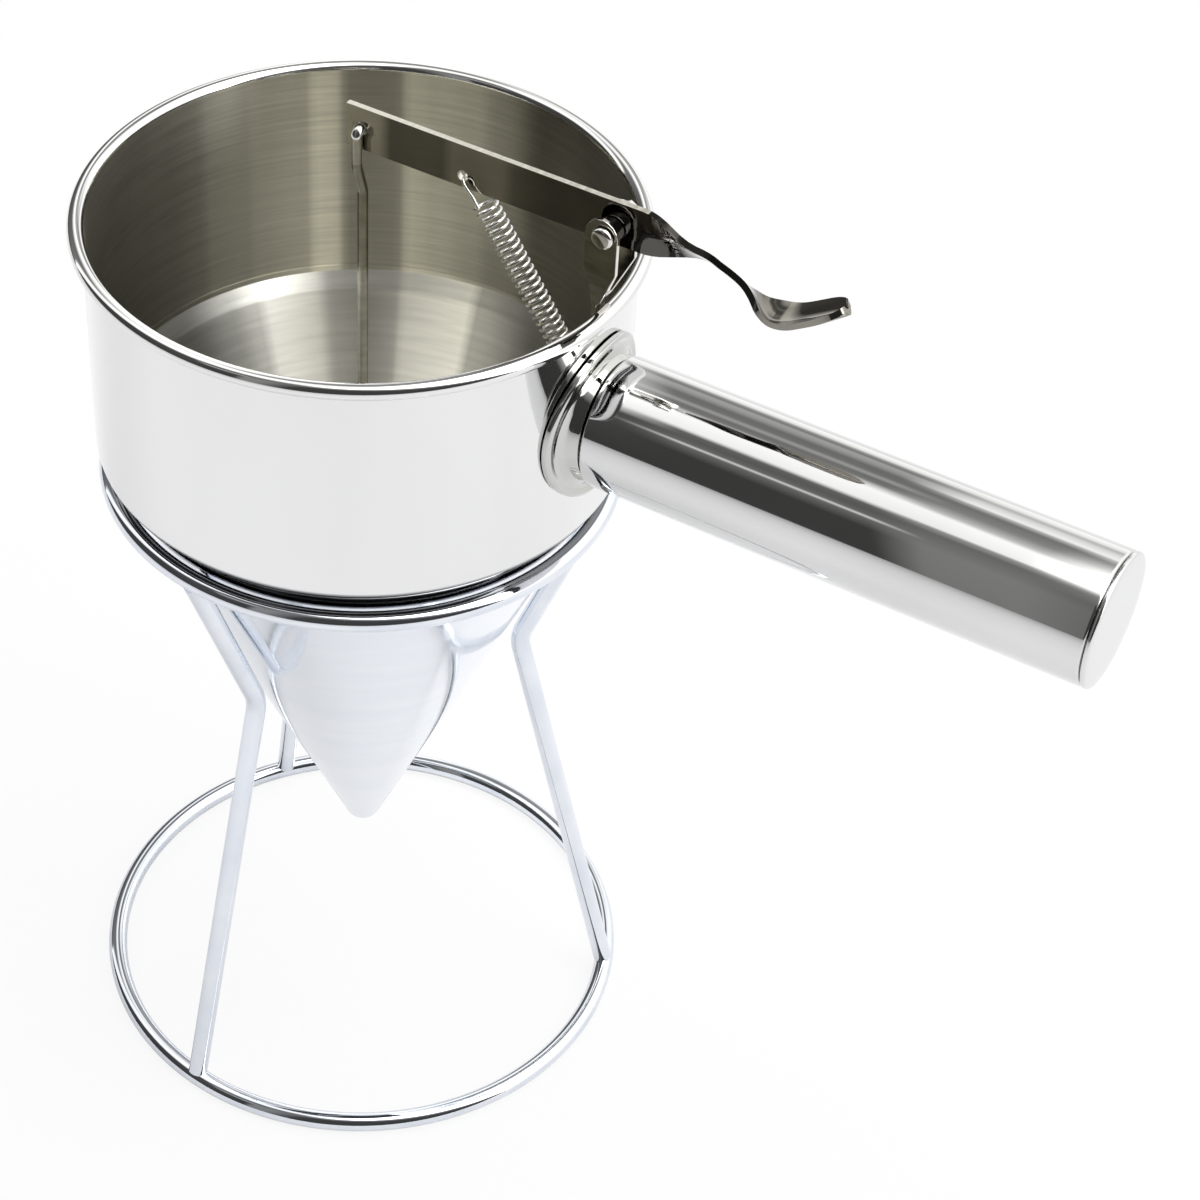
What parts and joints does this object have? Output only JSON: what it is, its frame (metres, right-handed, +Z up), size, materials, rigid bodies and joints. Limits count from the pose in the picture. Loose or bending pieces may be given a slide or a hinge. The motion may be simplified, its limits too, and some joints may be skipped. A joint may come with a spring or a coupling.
{
  "type": "pancake batter dispenser",
  "caption": "Steel funnel bowl with a sprung lever that lifts a plug valve, a round tube handle, and a wire stand with a base ring.",
  "frame": {"origin": "on the floor, in the middle of the object's box", "axes": "+X along the handle, away from the bowl; +Z up along the funnel's axis; +Y to the far side"},
  "size_m": [0.2694, 0.1462, 0.2805],
  "materials": {
    "chrome_wire": "bright chrome plate on round steel wire",
    "polished_steel": "stainless steel, mirror polished outside and brushed round inside",
    "satin_steel": "stainless steel, satin",
    "strip_steel": "stainless strip, polished, with a slightly warm tone",
    "spring_steel": "bright drawn stainless spring wire"
  },
  "bodies": {
    "stand": {"stand_base_ring": "chrome_wire", "stand_top_ring": "chrome_wire", "stand_leg_1": "chrome_wire", "stand_leg_2": "chrome_wire", "stand_leg_3": "chrome_wire"},
    "funnel": {"bowl_wall": "polished_steel", "funnel_cone": "polished_steel", "handle_flange": "polished_steel", "handle_neck": "polished_steel", "handle_tube": "polished_steel", "handle_end_cap": "polished_steel", "pivot_bracket": "satin_steel", "pivot_pin": "satin_steel", "pivot_nut": "satin_steel", "pivot_bush_near": "satin_steel", "pivot_bush_far": "satin_steel", "return_spring": "spring_steel"},
    "lever": {"lever": "strip_steel"},
    "valve": {"valve_rod": "satin_steel", "valve_plug": "satin_steel", "valve_lock_nut": "satin_steel"}
  },
  "joints": [
    {"name": "funnel_lift", "type": "slide", "parent": "stand", "child": "funnel", "axis": [0, 0, 1], "range_m": [0, 0.0002]},
    {"name": "lever_pivot", "type": "hinge", "parent": "funnel", "child": "lever", "pos_m": [0.00535, 0, 0.2735], "axis": [0, 1, 0], "range_deg": [0, 8], "stiffness_Nm_per_rad": 0.38, "springref_deg": -37.24, "deforming": ["return_spring"]},
    {"name": "valve_lift", "type": "slide", "parent": "funnel", "child": "valve", "axis": [0, 0, 1], "range_m": [0, 0.0094]}
  ],
  "couplings": [
    {"joint": "valve_lift", "follows": "lever_pivot", "m_per_rad": 0.0667}
  ]
}
